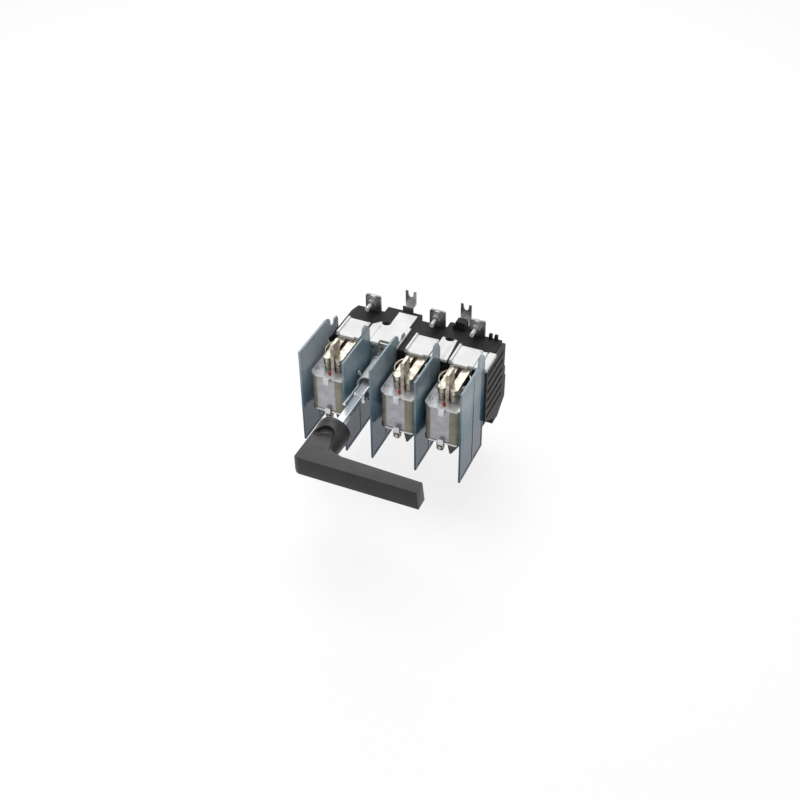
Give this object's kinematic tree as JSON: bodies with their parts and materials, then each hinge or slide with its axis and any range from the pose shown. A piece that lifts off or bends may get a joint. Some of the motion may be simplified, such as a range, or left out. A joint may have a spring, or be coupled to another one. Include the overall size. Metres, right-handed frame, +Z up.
{
  "type": "fuse switch disconnector",
  "caption": "Panel-mounted fuse switch disconnector with knife-blade fuse-links between clear phase barriers and a bar handle on an extended square shaft.",
  "frame": {"origin": "centre of the four mounting feet, in the plane of the panel they bolt to", "axes": "+X across the poles, -Y out of the panel towards the operator, +Z up"},
  "size_m": [0.2668, 0.371, 0.2168],
  "materials": {
    "housing_moulding": "matt black moulding compound",
    "white_moulding": "matt white",
    "clear_barrier": "smoky translucent sheet",
    "zinc_steel": "zinc plated",
    "bright_steel": "bright",
    "plated_copper": "silver plated, satin",
    "ceramic": "unglazed steatite",
    "end_plate": "satin",
    "indicator": "red",
    "grey_moulding": "grey thermoset",
    "handle_moulding": "matt dark grey"
  },
  "bodies": {
    "switch": {"base_housing": "housing_moulding", "rear_cover": "housing_moulding", "right_end_cover": "housing_moulding", "pole_cover_1": "white_moulding", "pole_cover_2": "white_moulding", "pole_cover_3": "white_moulding", "mechanism_cover": "white_moulding", "infill_cover": "white_moulding", "narrow_end_strip": "white_moulding", "wide_end_strip": "white_moulding", "shaft_guide": "white_moulding", "phase_barrier_1": "clear_barrier", "phase_barrier_2": "clear_barrier", "phase_barrier_3": "clear_barrier", "phase_barrier_4": "clear_barrier", "phase_barrier_5": "clear_barrier", "mechanism_plate": "zinc_steel", "mounting_foot_upper_left": "zinc_steel", "mounting_foot_upper_right": "zinc_steel", "mounting_foot_lower_left": "zinc_steel", "mounting_foot_lower_right": "zinc_steel", "foot_screws": "zinc_steel", "terminal_bolts": "zinc_steel", "terminal_nuts": "zinc_steel", "terminal_washers": "zinc_steel", "clamp_screw": "zinc_steel", "jaw_springs": "bright_steel", "upper_jaw_1": "plated_copper", "upper_jaw_2": "plated_copper", "upper_jaw_3": "plated_copper", "upper_terminal_1": "plated_copper", "upper_terminal_2": "plated_copper", "upper_terminal_3": "plated_copper", "lower_jaw_1": "plated_copper", "lower_jaw_2": "plated_copper", "lower_jaw_3": "plated_copper", "lower_terminal_1": "plated_copper", "lower_terminal_2": "plated_copper", "lower_terminal_3": "plated_copper"},
    "operating_shaft": {"handle": "handle_moulding", "handle_shaft": "bright_steel", "shaft_coupling": "zinc_steel", "locking_rod": "zinc_steel", "drive_spindle": "zinc_steel", "drive_crank": "zinc_steel"},
    "moving_contacts": {"contact_carrier": "grey_moulding", "contact_bridges": "plated_copper", "bridge_springs": "bright_steel"},
    "fuse_link_1": {"fuse_body_1": "ceramic", "fuse_end_plates_1": "end_plate", "fuse_blades_1": "plated_copper", "fuse_indicator_1": "indicator"},
    "fuse_link_2": {"fuse_body_2": "ceramic", "fuse_end_plates_2": "end_plate", "fuse_blades_2": "plated_copper", "fuse_indicator_2": "indicator"},
    "fuse_link_3": {"fuse_body_3": "ceramic", "fuse_end_plates_3": "end_plate", "fuse_blades_3": "plated_copper", "fuse_indicator_3": "indicator"}
  },
  "joints": [
    {"name": "handle_turn", "type": "hinge", "parent": "switch", "child": "operating_shaft", "pos_m": [-0.047, -0.2, 0.0335], "axis": [0, 1, 0], "range_deg": [0, 90]},
    {"name": "contact_lift", "type": "slide", "parent": "switch", "child": "moving_contacts", "axis": [0, 0, 1], "range_m": [0, 0.01414]},
    {"name": "fuse_pull_1", "type": "slide", "parent": "switch", "child": "fuse_link_1", "axis": [0, -1, 0], "range_m": [0, 0.06]},
    {"name": "fuse_pull_2", "type": "slide", "parent": "switch", "child": "fuse_link_2", "axis": [0, -1, 0], "range_m": [0, 0.06]},
    {"name": "fuse_pull_3", "type": "slide", "parent": "switch", "child": "fuse_link_3", "axis": [0, -1, 0], "range_m": [0, 0.06]}
  ],
  "couplings": [
    {"joint": "contact_lift", "follows": "handle_turn", "m_per_rad": 0.0090032}
  ]
}
